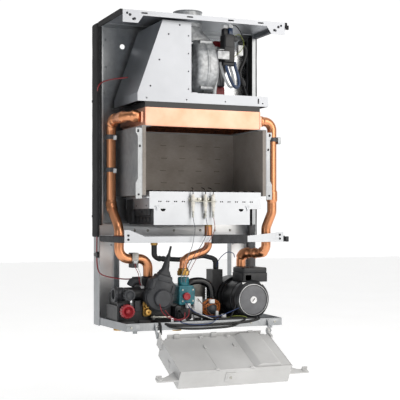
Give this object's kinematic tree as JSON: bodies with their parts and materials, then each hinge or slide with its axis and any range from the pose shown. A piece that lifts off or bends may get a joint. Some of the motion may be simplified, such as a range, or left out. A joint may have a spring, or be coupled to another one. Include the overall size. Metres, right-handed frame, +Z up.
{
  "type": "combi boiler",
  "caption": "Wall-hung gas combi boiler without its casing: open combustion chamber, copper pipes, fan hood, hydraulic group and a hinged control box.",
  "frame": {"origin": "midway between the two wall-hook holes, on the rear face of the frame", "axes": "+X along the wall to the right, +Y into the wall, +Z up"},
  "size_m": [0.4135, 0.3388, 0.837],
  "materials": {
    "galvanised": "galvanised, satin",
    "white_sheet": "pale coated steel, satin",
    "cast_alu": "die cast, matt",
    "foam": "closed-cell foam, matt",
    "black_sheet": "black coated steel",
    "copper": "bright copper",
    "fibre": "pressed fibre, matt",
    "burner_steel": "stainless, heat dulled",
    "brass": "turned brass",
    "electrode_ceramic": "white ceramic",
    "lead_insulation": "silicone, satin",
    "black_moulding": "moulded black, satin",
    "grey_moulding": "moulded dark grey, satin",
    "blue_tube": "soft blue tube",
    "red_rubber": "red-brown silicone rubber",
    "red_capillary": "red sleeve",
    "red_moulding": "moulded red",
    "teal_casting": "teal coated casting",
    "white_moulding": "moulded white",
    "control_plastic": "moulded light grey, matt",
    "board": "circuit board"
  },
  "bodies": {
    "boiler": {"rear_frame": "galvanised", "top_panel": "white_sheet", "flue_collar": "cast_alu", "side_seal_left": "foam", "side_seal_right": "foam", "top_seal": "foam", "shelf": "galvanised", "crossbar": "white_sheet", "foam_pads": "foam", "bottom_frame": "galvanised", "flue_hood": "white_sheet", "hood_skirt": "black_sheet", "exchanger_shell": "copper", "exchanger_fins": "copper", "chamber_jacket": "galvanised", "insulation_sides": "fibre", "insulation_back": "fibre", "chamber_brackets": "white_sheet", "burner_frame": "white_sheet", "burner_box": "white_sheet", "burner_blades": "burner_steel", "gas_manifold": "brass", "electrodes": "electrode_ceramic", "electrode_leads": "lead_insulation", "fan_scroll": "cast_alu", "fan_motor": "black_moulding", "fan_bracket": "galvanised", "pressure_switch": "black_moulding", "pressure_tubes": "blue_tube", "flow_pipe": "copper", "return_pipe": "copper", "gas_pipe": "copper", "vessel_hose": "grey_moulding", "pipe_clips": "black_moulding", "grommets": "red_rubber", "sense_wire": "red_capillary", "flow_block": "black_moulding", "diverter_actuator": "grey_moulding", "actuator_boot": "black_moulding", "plate_exchanger": "burner_steel", "gas_valve": "teal_casting", "flow_sensor": "white_moulding", "pump_volute": "black_moulding", "pump_motor": "grey_moulding", "terminal_box": "black_moulding", "connection_unions": "brass", "wiring_loom": "black_moulding"},
    "fan_wheel": {"fan_impeller": "burner_steel"},
    "pump_wheel": {"pump_impeller": "burner_steel"},
    "diverter": {"diverter_spool": "burner_steel"},
    "relief_valve": {"relief_knob": "red_moulding"},
    "filling_valve": {"fill_knob": "black_moulding"},
    "gas_adjuster": {"gas_valve_knob": "red_moulding"},
    "vent_plug": {"vent_screw": "burner_steel"},
    "control_box": {"control_tray": "control_plastic", "control_cover": "control_plastic", "circuit_board": "board", "pressure_gauge": "white_moulding"},
    "heating_dial": {"heating_knob": "grey_moulding"},
    "hot_water_dial": {"hot_water_knob": "grey_moulding"}
  },
  "joints": [
    {"name": "control_box_hinge", "type": "hinge", "parent": "boiler", "child": "control_box", "pos_m": [0.015, -0.216, -0.663], "axis": [1, 0, 0], "range_deg": [-116, 0]},
    {"name": "heating_dial_turn", "type": "hinge", "parent": "control_box", "child": "heating_dial", "pos_m": [-0.042, -0.25156, -0.73152], "axis": [0, 0.4384, -0.8988], "range_deg": [0, 270]},
    {"name": "hot_water_dial_turn", "type": "hinge", "parent": "control_box", "child": "hot_water_dial", "pos_m": [0.018, -0.25156, -0.73152], "axis": [0, 0.4384, -0.8988], "range_deg": [0, 270]},
    {"name": "fan_spin", "type": "hinge", "parent": "boiler", "child": "fan_wheel", "pos_m": [0.02, -0.112, -0.058], "axis": [1, 0, 0], "continuous": true},
    {"name": "pump_spin", "type": "hinge", "parent": "boiler", "child": "pump_wheel", "pos_m": [0.119, -0.1, -0.5934], "axis": [0, -1, 0], "continuous": true},
    {"name": "diverter_slide", "type": "slide", "parent": "boiler", "child": "diverter", "axis": [0, -1, 0], "range_m": [0, 0.008]},
    {"name": "relief_valve_turn", "type": "hinge", "parent": "boiler", "child": "relief_valve", "pos_m": [-0.174, -0.16, -0.6125], "axis": [0, -1, 0], "range_deg": [0, 90]},
    {"name": "filling_valve_turn", "type": "hinge", "parent": "boiler", "child": "filling_valve", "pos_m": [-0.168, -0.16, -0.577], "axis": [0, -1, 0], "range_deg": [0, 180]},
    {"name": "gas_adjuster_turn", "type": "hinge", "parent": "boiler", "child": "gas_adjuster", "pos_m": [-0.034, -0.17, -0.583], "axis": [0, -1, 0], "range_deg": [0, 270]},
    {"name": "vent_plug_turn", "type": "hinge", "parent": "boiler", "child": "vent_plug", "pos_m": [0.119, -0.195, -0.5934], "axis": [0, -1, 0], "range_deg": [0, 360]}
  ]
}
